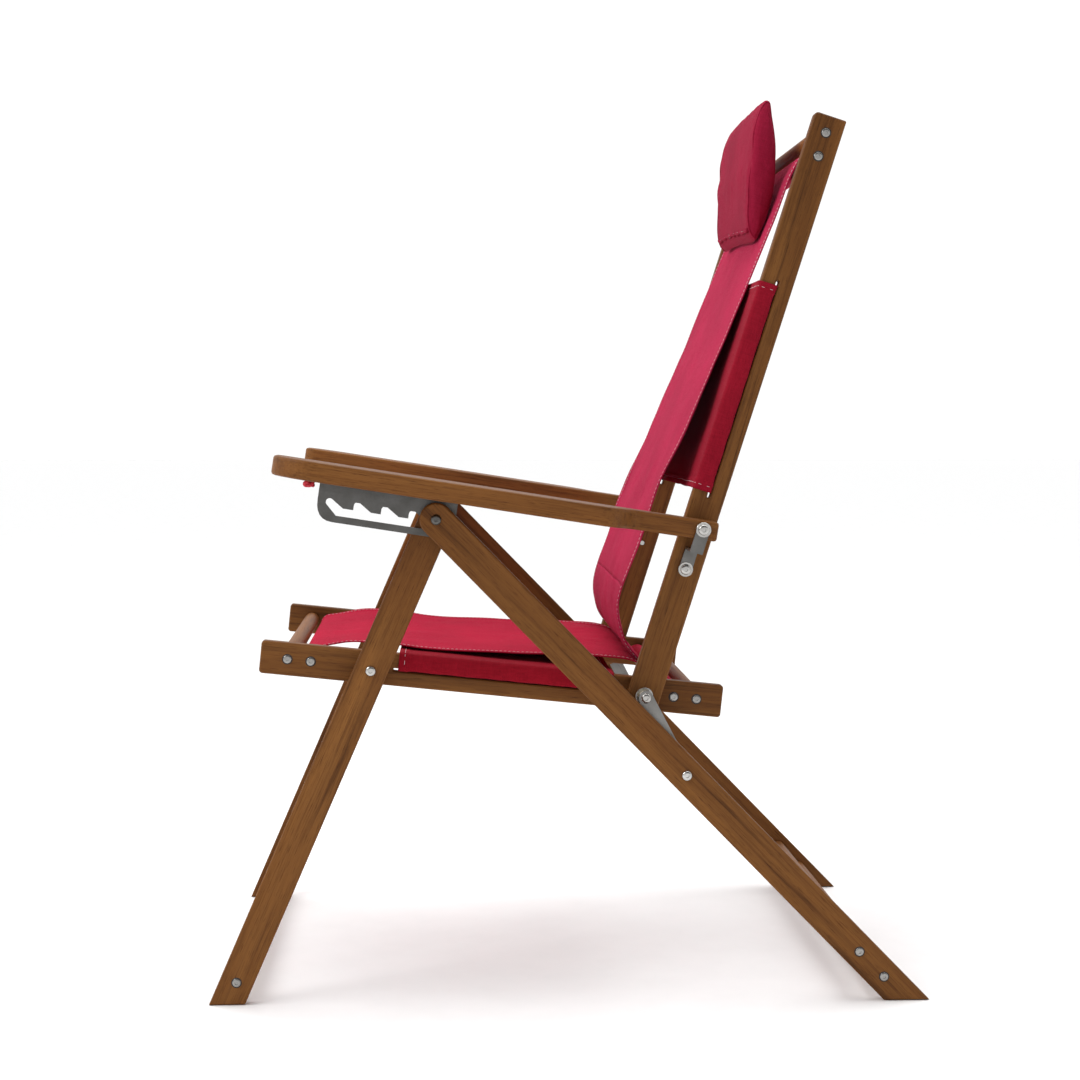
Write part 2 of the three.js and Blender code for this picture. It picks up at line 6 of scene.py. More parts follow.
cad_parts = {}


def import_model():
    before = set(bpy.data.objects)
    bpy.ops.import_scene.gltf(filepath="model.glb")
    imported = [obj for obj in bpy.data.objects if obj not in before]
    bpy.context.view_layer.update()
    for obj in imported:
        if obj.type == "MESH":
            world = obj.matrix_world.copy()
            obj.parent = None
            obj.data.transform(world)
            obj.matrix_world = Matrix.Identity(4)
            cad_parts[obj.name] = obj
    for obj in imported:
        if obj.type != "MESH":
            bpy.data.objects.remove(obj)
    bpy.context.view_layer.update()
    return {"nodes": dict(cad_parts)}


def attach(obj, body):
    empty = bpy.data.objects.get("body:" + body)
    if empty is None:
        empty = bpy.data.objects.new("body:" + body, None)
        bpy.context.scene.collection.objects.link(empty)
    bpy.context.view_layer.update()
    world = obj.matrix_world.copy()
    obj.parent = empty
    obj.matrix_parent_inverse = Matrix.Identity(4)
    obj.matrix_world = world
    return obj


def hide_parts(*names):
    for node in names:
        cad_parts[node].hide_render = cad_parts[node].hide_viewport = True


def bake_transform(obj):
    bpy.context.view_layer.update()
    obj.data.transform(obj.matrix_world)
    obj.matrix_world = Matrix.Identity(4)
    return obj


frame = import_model()
rad = math.radians


# ---- Side-plane frames, in millimetres: x runs along the bar, y is its left side ----
def step(at, angle, length):
    return (at[0] + length * math.cos(rad(angle)), at[1] + length * math.sin(rad(angle)))


def heading(a, b):
    return math.degrees(math.atan2(b[1] - a[1], b[0] - a[0]))


APEX = (-153.1, 559.0)
SEAT_PIVOT = (-228.36, 385.09)
BACK_PIVOT = (87.41, 351.98)
LINK_PIVOT = (133.09, 264.71)
ARM_PIVOT = (149.67, 547.09)
REAR_LEG = (APEX, -45.8)
FRONT_LEG = (APEX, -113.4)
RAIL = (SEAT_PIVOT, heading(SEAT_PIVOT, BACK_PIVOT))
STILE = (BACK_PIVOT, heading(BACK_PIVOT, ARM_PIVOT))
LINK = (LINK_PIVOT, heading(LINK_PIVOT, BACK_PIVOT))
ARM = (APEX, -8.8)
SIDES = (("left", 1), ("right", -1))


def at(place, along, left=0.0):
    return step(step(place[0], place[1], along), place[1] + 90, left)


def local(place, point):
    y, z = point[0] - place[0][0], point[1] - place[0][1]
    c, s = math.cos(rad(place[1])), math.sin(rad(place[1]))
    return (y * c + z * s, z * c - y * s)


def world(x, point):
    return Vector((x / 1000, point[0] / 1000, point[1] / 1000))


# ---- Materials ----
class Nodes:
    """A small helper that builds one procedural material."""

    def __init__(self, name):
        self.mat = bpy.data.materials.new(name)
        self.mat.use_nodes = True
        self.tree = self.mat.node_tree
        self.shader = self.tree.nodes["Principled BSDF"]

    def add(self, kind, **values):
        node = self.tree.nodes.new(kind)
        for key, value in values.items():
            if hasattr(node, key) and key not in node.inputs:
                setattr(node, key, value)
            else:
                self.set(node.inputs[key], value)
        return node

    def set(self, socket, value):
        if isinstance(value, bpy.types.NodeSocket):
            self.tree.links.new(value, socket)
        else:
            socket.default_value = value

    def math(self, operation, a, b=0.0):
        node = self.tree.nodes.new("ShaderNodeMath")
        node.operation = operation
        self.set(node.inputs[0], a)
        self.set(node.inputs[1], b)
        return node.outputs[0]

    def ramp(self, value, stops):
        node = self.tree.nodes.new("ShaderNodeValToRGB")
        self.set(node.inputs[0], value)
        ramp = node.color_ramp
        while len(ramp.elements) < len(stops):
            ramp.elements.new(0.5)
        for element, (place, colour) in zip(ramp.elements, stops):
            element.position = place
            element.color = (*colour, 1) if len(colour) == 3 else colour
        return node.outputs[0]

    def mix(self, factor, a, b, mode="MIX"):
        node = self.tree.nodes.new("ShaderNodeMix")
        node.data_type = "RGBA"
        node.blend_type = mode
        self.set(node.inputs[0], factor)
        self.set(node.inputs[6], a)
        self.set(node.inputs[7], b)
        return node.outputs[2]

    def noise(self, vector, scale=1.0, detail=3.0, rough=0.5, distortion=0.0):
        node = self.add("ShaderNodeTexNoise")
        self.set(node.inputs["Vector"], vector)
        settings = {"Scale": scale, "Detail": detail, "Roughness": rough, "Distortion": distortion}
        for key, value in settings.items():
            self.set(node.inputs[key], value)
        return node.outputs[0]

    def coords(self, angle=0.0, scale=(1, 1, 1), shift=(0, 0, 0)):
        source = self.add("ShaderNodeTexCoord").outputs["Object"]
        turn = self.add("ShaderNodeMapping")
        self.set(turn.inputs["Vector"], source)
        self.set(turn.inputs["Rotation"], (-rad(angle), 0, 0))
        size = self.add("ShaderNodeMapping")
        self.set(size.inputs["Vector"], turn.outputs[0])
        self.set(size.inputs["Scale"], scale)
        self.set(size.inputs["Location"], shift)
        return size.outputs[0]

    def bump(self, height, strength, distance, normal=None):
        node = self.add("ShaderNodeBump")
        self.set(node.inputs["Height"], height)
        self.set(node.inputs["Strength"], strength)
        self.set(node.inputs["Distance"], distance)
        if normal is not None:
            self.set(node.inputs["Normal"], normal)
        return node.outputs[0]

    def finish(self, **values):
        for key, value in values.items():
            self.set(self.shader.inputs[key.replace("_", " ")], value)
        return self.mat


def wood(name, angle, seed, across_x=False, tone=1.0):
    n = Nodes(name)

    def grain(across, along):
        scale = (along, across, across) if across_x else (across, along, across)
        return n.coords(angle, scale, (seed * 3.7, seed * 1.3, seed * 2.1))

    figure = n.noise(grain(26, 1.6), 1, 3, 0.5, 0.7)
    streak = n.noise(grain(130, 3.5), 1, 4, 0.6, 0.3)
    fine = n.noise(grain(620, 16), 1, 3, 0.6)
    pore = n.noise(grain(1500, 55), 1, 2, 0.5)
    base = n.ramp(figure, [(0.28, (0.108 * tone, 0.039 * tone, 0.0088 * tone)),
                           (0.50, (0.150 * tone, 0.058 * tone, 0.0138 * tone)),
                           (0.74, (0.200 * tone, 0.083 * tone, 0.0210 * tone))])
    lines = n.ramp(streak, [(0.30, (0.50, 0.45, 0.40)), (0.44, (0.94, 0.92, 0.90)),
                            (0.7, (1.14, 1.13, 1.10))])
    colour = n.mix(1.0, base, lines, "MULTIPLY")
    thin = n.ramp(fine, [(0.34, (0.66, 0.62, 0.58)), (0.5, (1, 1, 1))])
    colour = n.mix(0.8, colour, thin, "MULTIPLY")
    dark = n.ramp(pore, [(0.30, (0.35, 0.30, 0.27)), (0.40, (1, 1, 1))])
    colour = n.mix(0.75, colour, dark, "MULTIPLY")
    rough = n.math("ADD", n.math("MULTIPLY", streak, 0.22), 0.40)
    soft = n.add("ShaderNodeBevel", samples=4)
    n.set(soft.inputs["Radius"], 0.0012)
    height = n.math("ADD", n.math("MULTIPLY", fine, 0.6), n.math("MULTIPLY", pore, 0.4))
    normal = n.bump(height, 0.35, 0.0004, soft.outputs[0])
    return n.finish(Base_Color=colour, Roughness=rough, Normal=normal, Specular_IOR_Level=0.12)


def steel(name, angle, base=0.42, rough=0.34, brushed=True):
    n = Nodes(name)
    long = n.noise(n.coords(angle, (900, 22, 900)), 1, 3, 0.6)
    cloud = n.noise(n.coords(angle, (40, 40, 40)), 1, 4, 0.6)
    tint = n.ramp(cloud, [(0.3, (base * 0.80, base * 0.77, base * 0.73)),
                          (0.7, (base * 1.12, base * 1.10, base * 1.06))])
    worn = n.math("ADD", n.math("MULTIPLY", long, 0.22), rough - 0.10)
    normal = n.bump(long, 0.30 if brushed else 0.06, 0.0002)
    return n.finish(Base_Color=tint, Metallic=1.0, Roughness=worn, Normal=normal)


def nylon(name):
    n = Nodes(name)
    cloud = n.noise(n.coords(0, (120, 120, 120)), 1, 4, 0.6)
    tint = n.ramp(cloud, [(0.3, (0.62, 0.55, 0.40)), (0.7, (0.76, 0.70, 0.55))])
    return n.finish(Base_Color=tint, Roughness=n.math("ADD", n.math("MULTIPLY", cloud, 0.2), 0.3),
                    Normal=n.bump(cloud, 0.2, 0.0003))


def cloth(name, angle, dye, pitch=0.0011, seed=0.0):
    """Plain-weave canvas: crossed threads in relief, lighter and pinker where the slub noise stands high and
    darker where it lies low.
    """
    n = Nodes(name)
    turns = 2 * math.pi / pitch
    split = n.add("ShaderNodeSeparateXYZ")
    wobble = n.coords(angle, (1, 1, 1), (seed, seed, seed))
    n.set(split.inputs[0], wobble)
    warp = n.math("SINE", n.math("MULTIPLY", split.outputs[0], turns))
    weft = n.math("SINE", n.math("MULTIPLY", split.outputs[1], turns))
    weave = n.math("MULTIPLY", warp, weft)
    slub = n.noise(n.coords(angle, (60, 700, 60)), 1, 2, 0.6)
    slub_b = n.noise(n.coords(angle, (700, 60, 700)), 1, 2, 0.6)
    fade = n.noise(n.coords(angle, (9, 9, 9), (seed, 0, 0)), 1, 4, 0.55)
    base = n.ramp(fade, [(0.3, tuple(v * 0.88 for v in dye)), (0.72, tuple(v * 1.12 for v in dye))])
    thread = n.ramp(n.math("MULTIPLY", n.math("ADD", slub, slub_b), 0.5),
                    [(0.36, (0.82, 0.74, 0.78)), (0.54, (1.0, 1.0, 1.0)), (0.68, (1.06, 1.3, 1.2))])
    colour = n.mix(0.85, base, thread, "MULTIPLY")
    height = n.math("ADD", n.math("MULTIPLY", weave, 0.5), n.math("ADD", slub, slub_b))
    crumple = n.noise(n.coords(angle, (34, 34, 34), (0, seed, 0)), 1, 4, 0.6, 0.5)
    low = n.bump(crumple, 0.35, 0.006)
    normal = n.bump(height, 0.55, 0.0004, low)
    return n.finish(Base_Color=colour, Roughness=0.9, Normal=normal, Specular_IOR_Level=0.06,
                    Sheen_Weight=0.04, Sheen_Roughness=0.5, Sheen_Tint=(1.0, 0.35, 0.5, 1))


def thread(name, colour):
    n = Nodes(name)
    twist = n.noise(n.coords(0, (900, 900, 900)), 1, 2, 0.5)
    tint = n.ramp(twist, [(0.3, tuple(c * 0.8 for c in colour)), (0.7, colour)])
    return n.finish(Base_Color=tint, Roughness=0.7, Normal=n.bump(twist, 0.4, 0.0003))


STEEL_PLATE = steel("satin_plate", -8.8, 0.105, 0.38)
STEEL_LINK = steel("satin_link", LINK[1], 0.20, 0.30)
STEEL_BRACKET = steel("satin_bracket", STILE[1], 0.15, 0.32)
STEEL_HEAD = steel("bright_head", 0, 0.46, 0.20, brushed=False)
STEEL_SCREW = steel("screw_head", 0, 0.30, 0.24, brushed=False)
STEEL_DARK = steel("dull_screw", 0, 0.12, 0.34, brushed=False)
# Near-black finish for the dowel screws: painted shadow round the heads and painted shade in their sockets.
COUNTERBORE_SHADE = thread("painted_counterbore_shade", (0.018, 0.012, 0.009))
NYLON = nylon("cream_nylon")
CANVAS_SEAT = cloth("canvas_seat", RAIL[1], (0.39, 0.0085, 0.035), seed=0.3)
# The back's dye is paler and pinker than the seat's, though both are one canvas: the difference is painted
# sheen on the back.
CANVAS_BACK_SHEEN = cloth("canvas_back_painted_sheen", STILE[1], (0.38, 0.0155, 0.057), seed=1.7)
CANVAS_BAND = cloth("canvas_band", STILE[1], (0.235, 0.0058, 0.017), seed=2.9)
CANVAS_SEAT_BAND = cloth("canvas_seat_band", RAIL[1], (0.25, 0.0055, 0.0145), seed=4.1)
CANVAS_PILLOW = cloth("canvas_pillow", STILE[1], (0.26, 0.0090, 0.033), seed=5.3)
WHITE_THREAD = thread("off_white_thread", (0.62, 0.44, 0.46))
RED_CORD = thread("red_cord", (0.50, 0.012, 0.03))


# ---- Finishes on the pieces carried over from the CAD ----
def smooth(obj, angle=32):
    mesh = obj.data
    for polygon in mesh.polygons:
        polygon.use_smooth = True
    mesh.set_sharp_from_angle(angle=rad(angle))


def paint(node, material):
    obj = frame["nodes"][node]
    obj.data.materials.clear()
    obj.data.materials.append(material)
    smooth(obj)


seed = 0
for side, sign in SIDES:
    for piece, angle, tone in (("rear_leg", REAR_LEG[1], 1.0), ("front_leg", FRONT_LEG[1], 1.05),
                               ("back_stile", STILE[1], 0.95), ("seat_rail", RAIL[1], 1.0),
                               ("armrest", ARM[1], 1.12)):
        seed += 1
        paint(f"{side}_{piece}", wood(f"wood_{side}_{piece}", angle, seed, tone=tone))
    paint(f"{side}_notch_plate", STEEL_PLATE)
    paint(f"{side}_link", STEEL_LINK)
    paint(f"{side}_arm_bracket", STEEL_BRACKET)
for dowel in ("top_dowel_lower", "top_dowel_upper", "seat_dowel_front_outer", "seat_dowel_front_inner",
              "seat_dowel_rear_inner", "seat_dowel_rear_outer", "rear_leg_dowel_upper",
              "rear_leg_dowel_lower", "front_leg_dowel"):
    seed += 1
    paint(dowel, wood(f"wood_{dowel}", 0, seed, across_x=True, tone=1.25))


# ---- Turned metal ----
def mesh_object(name, points, faces, material, smooth_angle=40):
    mesh = bpy.data.meshes.new(name)
    mesh.from_pydata([tuple(p) for p in points], [], faces)
    mesh.validate()
    mesh.update()
    obj = bpy.data.objects.new(name, mesh)
    bpy.context.scene.collection.objects.link(obj)
    mesh.materials.append(material)
    smooth(obj, smooth_angle)
    return obj


def turned(profile, centre, sign, hexes=(), segments=48):
    """Points and faces of a profile of (x, radius) turned about an X axis; hexes are rings with six flats."""
    points = []
    for i, (x, r) in enumerate(profile):
        for k in range(segments):
            angle = 2 * math.pi * k / segments
            reach = r
            if i in hexes:
                reach = r * math.cos(math.pi / 6) / math.cos((angle % (math.pi / 3)) - math.pi / 6)
            y, z = centre[0] + reach * math.cos(angle), centre[1] + reach * math.sin(angle)
            points.append((sign * x, y, z))
    faces = []
    for i in range(len(profile) - 1):
        for k in range(segments):
            m = (k + 1) % segments
            quad = (i * segments + k, i * segments + m, (i + 1) * segments + m, (i + 1) * segments + k)
            faces.append(quad if sign < 0 else quad[::-1])
    last = (len(profile) - 1) * segments
    ends = (list(range(segments)), list(range(last, last + segments)))
    faces.append(ends[0][::-1] if sign < 0 else ends[0])
    faces.append(ends[1] if sign < 0 else ends[1][::-1])
    return [Vector(p) / 1000 for p in points], faces


def button_head(x0, tip, radius, high, shank=3.0, socket=2.5):
    """A domed head with a hex socket, drawn from the shank's tip outward."""
    dome = [(x0 + high * math.sin(t * math.pi / 14) * 0.92 + 0.25,
             radius * (1 - (1 - math.cos(t * math.pi / 14)) * 0.62)) for t in range(8)]
    rim = dome[-1]
    profile = [(tip, shank), (x0, shank), (x0, radius - 0.25), (x0 + 0.25, radius)] + dome[1:]
    profile += [(rim[0], socket + 0.5), (rim[0] - 0.2, socket), (rim[0] - high * 0.75, socket)]
    hexes = (len(profile) - 2, len(profile) - 1)
    return profile, hexes


def place(name, profile, centre, material, body, sign=1, hexes=(), stands_for=()):
    points, faces = turned(profile, centre, sign, hexes)
    obj = mesh_object(name, points, faces, material)
    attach(obj, body)
    if stands_for:
        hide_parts(*stands_for)
    return obj


def annulus(x0, x1, outer, inner, edge=0.3):
    return [(x0, inner), (x0, outer - edge), (x0 + edge, outer), (x1 - edge, outer), (x1, outer - edge),
            (x1, inner), (x0, inner)]


def cap(x1, tip, radius=5.5, high=4.0):
    """A cap nut: a hexagon against the bar and a dome over it, facing the chair's middle."""
    dome = [(x1 - 1.6 - (high - 1.6) * math.sin(t * math.pi / 12), 4.6 * math.cos(t * math.pi / 12) + 0.05)
            for t in range(7)]
    profile = dome[::-1] + [(x1 - 1.5, radius), (x1, radius), (x1, 3.0), (tip, 3.0)]
    return profile, (len(dome), len(dome) + 1)


REAR_OUT, FRONT_OUT, STILE_OUT, STEEL_OUT = 288.5, 269.0, 252.0, 272.5
for side, sign in SIDES:
    head, hexes = button_head(REAR_OUT + 0.2, 269.4, 6.0, 3.0)
    place(f"{side}_apex_screw", head, APEX, STEEL_DARK, "rear_legs", sign, hexes, [f"{side}_apex_bolt"])
    head, hexes = cap(253.9, 268.7)
    place(f"{side}_apex_cap", head, APEX, STEEL_HEAD, "front_legs", sign, hexes, [f"{side}_apex_nut"])
    head, hexes = button_head(FRONT_OUT + 0.2, 224.0, 6.0, 3.0)
    place(f"{side}_seat_screw", head, SEAT_PIVOT, STEEL_HEAD, "front_legs", sign, hexes,
          [f"{side}_seat_bolt"])
    head, hexes = cap(219.8, 223.7)
    place(f"{side}_seat_cap", head, SEAT_PIVOT, STEEL_HEAD, "seat", sign, hexes, [f"{side}_seat_nut"])
    place(f"{side}_seat_tube", annulus(235.3, 253.7, 6.5, 3.3), SEAT_PIVOT, NYLON, "front_legs", sign, (),
          [f"{side}_seat_spacer"])
    head, hexes = cap(219.8, 269.7)
    place(f"{side}_back_cap", head, BACK_PIVOT, STEEL_HEAD, "back_pivot", sign, hexes, [f"{side}_back_bolt"])
    place(f"{side}_back_disc", annulus(252.3, 253.8, 10.0, 3.3), BACK_PIVOT, STEEL_HEAD, "back_pivot", sign,
          (), [f"{side}_back_washer"])
    place(f"{side}_back_tube", annulus(254.1, 269.7, 6.5, 3.3), BACK_PIVOT, NYLON, "back_pivot", sign, (),
          [f"{side}_back_spacer"])
    head, hexes = button_head(STEEL_OUT + 0.2, 270.0, 6.0, 3.2)
    place(f"{side}_link_head", head, BACK_PIVOT, STEEL_HEAD, "links", sign, hexes, [f"{side}_link_screw"])
    head, hexes = button_head(REAR_OUT + 0.2, 270.3, 6.0, 3.0)
    place(f"{side}_leg_screw", head, LINK_PIVOT, STEEL_HEAD, "rear_legs", sign, hexes, [f"{side}_link_bolt"])
    head, hexes = button_head(298.4, 256.0, 6.2, 3.2)
    place(f"{side}_arm_screw", head, ARM_PIVOT, STEEL_HEAD, "arm_pivot", sign, hexes, [f"{side}_arm_bolt"])
    place(f"{side}_arm_disc", annulus(296.9, 298.3, 8.5, 3.1), ARM_PIVOT, STEEL_HEAD, "arm_pivot", sign)
    head, hexes = button_head(256.5, 237.5, 6.2, 3.2)
    place(f"{side}_bracket_screw", head, at(STILE, 154.6), STEEL_HEAD, "back", sign, hexes,
          [f"{side}_bracket_bolt"])
    place(f"{side}_bracket_disc", annulus(255.0, 256.4, 8.5, 3.1), at(STILE, 154.6), STEEL_HEAD, "back", sign)
    for label, bar, face, body, places in (
            ("stile", STILE, STILE_OUT, "back", (652, 680)),
            ("rail", RAIL, 235.0, "seat", (-97.6, -70.6, 353.8, 380.8)),
            ("rear", REAR_LEG, REAR_OUT, "rear_legs", (699.4, 740.9)),
            ("front", FRONT_LEG, FRONT_OUT, "front_legs", (581,))):
        for number, along in enumerate(places):
            spot = at(bar, along)
            head, hexes = button_head(face + 0.25, face - 1.0, 4.9, 1.15, socket=2.3)
            place(f"{side}_{label}_dowel_screw_{number}", head, spot, STEEL_SCREW, body, sign, hexes)
            # A near-black ring round the head, slightly proud of the bar: painted shadow of a counterbore
            # that is not cut into the wood.
            rim = annulus(face - 0.6, face + 0.12, 6.1, 4.5, 0.1)
            place(f"{side}_{label}_dowel_bore_{number}", rim, spot, COUNTERBORE_SHADE, body, sign)
            # A near-black hex disc in the head: painted shade of the socket's hollow.
            socket_shade = [(face - 0.4, 2.35), (face + 0.4, 2.35)]
            place(f"{side}_{label}_dowel_pit_{number}", socket_shade, spot, COUNTERBORE_SHADE, body, sign, (0, 1))


# ---- Cloth surfaces ----
def spline(path, spacing=4.0):
    """A smooth line through the points, cut into runs of about the spacing."""
    line = []
    for i in range(len(path) - 1):
        a, b, c, d = (Vector(path[max(i - 1, 0)]), Vector(path[i]), Vector(path[i + 1]),
                      Vector(path[min(i + 2, len(path) - 1)]))
        count = max(1, round((c - b).length / spacing))
        for k in range(count):
            t = k / count
            line.append(0.5 * ((2 * b) + (c - a) * t + (2 * a - 5 * b + 4 * c - d) * t * t
                               + (3 * b - a - 3 * c + d) * t ** 3))
    line.append(Vector(path[-1]))
    return line


def wrap(centre, start, end, count, radius=11.2):
    angles = [rad(start + (end - start) * i / (count - 1)) for i in range(count)]
    return [(centre[0] + radius * math.cos(a), centre[1] + radius * math.sin(a)) for a in angles]


class Surface:
    """Cloth laid along a line in a side plane and across X; lift(s, x) raises it along its outer side."""

    def __init__(self, bar, line, lift, outer=1, spread=None):
        self.bar, self.line, self.lift, self.outer = bar, line, lift, outer
        self.spread = spread or (lambda s, x: x)
        self.at = [0.0]
        for a, b in zip(line, line[1:]):
            self.at.append(self.at[-1] + (b - a).length)
        self.length = self.at[-1]

    def point(self, s, x, extra=0.0):
        s = min(max(s, 0.0), self.length)
        i = max(k for k, v in enumerate(self.at[:-1]) if v <= s + 1e-9)
        run = self.line[i + 1] - self.line[i]
        t = (s - self.at[i]) / run.length
        before = self.line[max(i - 1, 0)]
        after = self.line[min(i + 2, len(self.line) - 1)]
        head = (after - before).normalized()
        side = Vector((-head.y, head.x)) * self.outer
        flat = self.line[i] + run * t + side * (self.lift(s, x) + extra)
        return world(self.spread(s, x), at(self.bar, flat.x, flat.y))

    def sheet(self, name, columns, material, thick=1.5, first=0.0, last=None):
        last = self.length if last is None else last
        rows = [first] + [v for v in self.at if first + 1 < v < last - 1] + [last]
        points = [self.point(s, x) for s in rows for x in columns]
        wide = len(columns)
        faces = [(r * wide + c, r * wide + c + 1, (r + 1) * wide + c + 1, (r + 1) * wide + c)
                 for r in range(len(rows) - 1) for c in range(wide - 1)]
        if self.outer < 0:
            faces = [f[::-1] for f in faces]
        obj = mesh_object(name, points, faces, material, 80)
        shell = obj.modifiers.new("thickness", "SOLIDIFY")
        shell.thickness = thick / 1000
        shell.offset = 0
        return obj


def tube(points, radius, sides=6, closed=False):
    """Points and faces of a round cord along a line."""
    out, faces = [], []
    count = len(points)
    for i, p in enumerate(points):
        ahead = points[(i + 1) % count] if closed else points[min(i + 1, count - 1)]
        behind = points[i - 1] if closed else points[max(i - 1, 0)]
        run = (ahead - behind).normalized()
        up = run.orthogonal().normalized() if i == 0 else (up - run * up.dot(run)).normalized()
        across = run.cross(up)
        for k in range(sides):
            angle = 2 * math.pi * k / sides
            out.append(p + (up * math.cos(angle) + across * math.sin(angle)) * radius)
    for i in range(count if closed else count - 1):
        j = (i + 1) % count
        for k in range(sides):
            m = (k + 1) % sides
            faces.append((i * sides + k, i * sides + m, j * sides + m, j * sides + k))
    if not closed:
        faces.append(tuple(range(sides))[::-1])
        faces.append(tuple(range((count - 1) * sides, count * sides)))
    return out, faces


def stitched(name, lines, material=None, radius=0.00030):
    """One mesh of separate stitches: each line is a list of point pairs."""
    points, faces = [], []
    for start, end, normal in lines:
        run = end - start
        arc = [start + run * t + normal * (math.sin(math.pi * t) * 0.0007 - 0.0002)
               for t in (0, 0.25, 0.5, 0.75, 1)]
        more, sides = tube(arc, radius, 5)
        faces += [tuple(k + len(points) for k in f) for f in sides]
        points += more
    return mesh_object(name, points, faces, material or WHITE_THREAD)


def run_of_stitches(surface, x, first, last, pitch=5.2, length=3.6, lift=0.85):
    out = []
    s = first
    while s + length < last:
        a, b = surface.point(s, x, lift), surface.point(s + length, x, lift)
        middle_of_run = s + length / 2
        normal = surface.point(middle_of_run, x, lift + 1) - surface.point(middle_of_run, x, lift)
        out.append((a, b, normal.normalized()))
        s += pitch
    return out


def rough(s, x, size, seed):
    return noise.noise(Vector((s / size, x / size, seed)))


def hem(x, half, width=10.0):
    """The doubled edge: a low step with a dip along its stitches."""
    inward = half - abs(x)
    if inward > width + 2:
        return 0.0
    rise = 0.9 * min(1.0, (width + 2 - inward) / 2)
    return rise - 0.5 * math.exp(-((inward - 6.5) / 1.6) ** 2)


def ease(value, low, high):
    t = min(1.0, max(0.0, (value - low) / (high - low)))
    return t * t * (3 - 2 * t)


HALF = 198.0
EDGE_COLUMNS = [198, 197, 195, 193, 191.5, 190, 188.5, 187, 185]
INNER = [i * 177.0 / 22 for i in range(23)]
COLUMNS = sorted(set([-v for v in EDGE_COLUMNS + INNER] + EDGE_COLUMNS + INNER))

crease = at(RAIL, 318, 28.5)
SEAT_PATH = [(-50, 15.9), (-20, 21.8), (30, 23), (80, 23.6), (180, 29.5), (262, 35), (300, 34.6), (318, 28),
             (334, 15)]
seat_line = spline(wrap((-70.6, 0), 300, 105, 14) + SEAT_PATH + wrap((353.8, 0), 140, -60, 14))


def seat_lift(s, x):
    """Slack between the front dowel and the band, folds fanning out of the crease at the rear."""
    open_front = ease(s, 40, 80) * (1 - ease(s, 130, 170))
    sag = -3.5 * open_front * (1 - (x / HALF) ** 2) + 2.2 * open_front * (abs(x) / HALF) ** 6
    soft = 1.5 * rough(s, x, 90, 1.0) + 0.9 * rough(s * 0.5, x, 34, 2.0)
    flat = ease(s, 34, 75) * (1 - ease(s, 425, 445))
    near = ease(s, 330, 400) * (1 - ease(s, 425, 450))
    folds = near * (1.5 * math.sin(x / 21 + 2.4 * rough(s, x, 160, 3.0)) + 2.0 * rough(s * 0.3, x, 22, 4.0))
    return sag + soft * flat + folds + hem(x, HALF)


def seat_spread(s, x):
    return x + 1.6 * (x / HALF) * rough(s, 0, 60, 5.0 + (x > 0))


seat_surface = Surface(RAIL, seat_line, seat_lift, 1, seat_spread)
seat_cloth = seat_surface.sheet("seat_cloth", COLUMNS, CANVAS_SEAT)
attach(seat_cloth, "seat")
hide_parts("seat_sling")

seat_thread = stitched("seat_cloth_stitches",
                       run_of_stitches(seat_surface, 191.5, 26, seat_surface.length - 60)
                       + run_of_stitches(seat_surface, -191.5, 26, seat_surface.length - 60))
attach(seat_thread, "seat")

crease_local = local(STILE, crease)
BACK_PATH = [(630, 15.6), (590, 17.5), (548, 20.6), (492, 24.8), (400, 33), (300, 43), (215, 52), (170, 55.6),
             (128, 55.2), (89, 50.1), (62, 41), (45, 30)]
back_line = spline(wrap((652, 0), -200, 75, 16) + BACK_PATH + [tuple(crease_local)])


def back_lift(s, x):
    """Long soft rolls where the slack hangs below the band, and gathers at the crease."""
    lower = ease(s, 330, 480)
    roll = lower * (2.6 * math.sin(s / 30 + 1.8 * rough(s, x, 150, 6.0)) * (0.6 + 0.4 * rough(0, x, 120, 7.0))
                    + 1.6 * rough(s, x, 46, 8.0))
    soft = 1.6 * rough(s, x, 110, 9.0) + 0.7 * rough(s, x, 30, 10.0)
    end = back_surface_length[0]
    near = ease(s, end - 70, end - 15)
    folds = near * (1.8 * math.sin(x / 19 + 2.0 * rough(s, x, 140, 11.0)) + 1.6 * rough(s * 0.3, x, 20, 12.0))
    fade = ease(s, 44, 90) * (1 - ease(s, end - 12, end))
    edge = 2.5 * lower * math.sin(s / 24 + (x > 0)) * (abs(x) / HALF) ** 8
    return (soft + roll + edge) * fade + folds * (1 - ease(s, end - 8, end)) + hem(x, HALF)


def back_spread(s, x):
    return x + (1.4 + 1.8 * ease(s, 330, 480)) * (x / HALF) * rough(s, 0, 55, 13.0 + (x > 0))


back_surface_length = [sum((b - a).length for a, b in zip(back_line, back_line[1:]))]
back_surface = Surface(STILE, back_line, back_lift, -1, back_spread)


def reach_of(along):
    """How far down the cloth a place along the stile lies, past the top dowel."""
    past_wrap = [i for i in range(len(back_line)) if back_surface.at[i] >= 60]
    best = min(past_wrap, key=lambda i: abs(back_line[i].x - along))
    return back_surface.at[best]


SPLIT = reach_of(112)
back_cloth = back_surface.sheet("back_cloth", COLUMNS, CANVAS_BACK_SHEEN, last=SPLIT)
low_cloth = back_surface.sheet("back_cloth_low", COLUMNS, CANVAS_BACK_SHEEN, first=SPLIT)
upper_edges = [run_of_stitches(back_surface, x, 34, SPLIT) for x in (191.5, -191.5)]
lower_edges = [run_of_stitches(back_surface, x, SPLIT, back_surface.length - 8) for x in (191.5, -191.5)]
back_thread = stitched("back_cloth_stitches", upper_edges[0] + upper_edges[1])
low_thread = stitched("back_cloth_low_stitches", lower_edges[0] + lower_edges[1])


def on_stile(along, left=40):
    return world(0, at(STILE, along, left))


for obj in (back_cloth, back_thread):
    on_stile(114)
    on_stile(250)
    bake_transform(obj)
for obj in (low_cloth, low_thread):
    on_stile(110)
    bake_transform(obj)
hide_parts("back_sling")
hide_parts("back_sling")


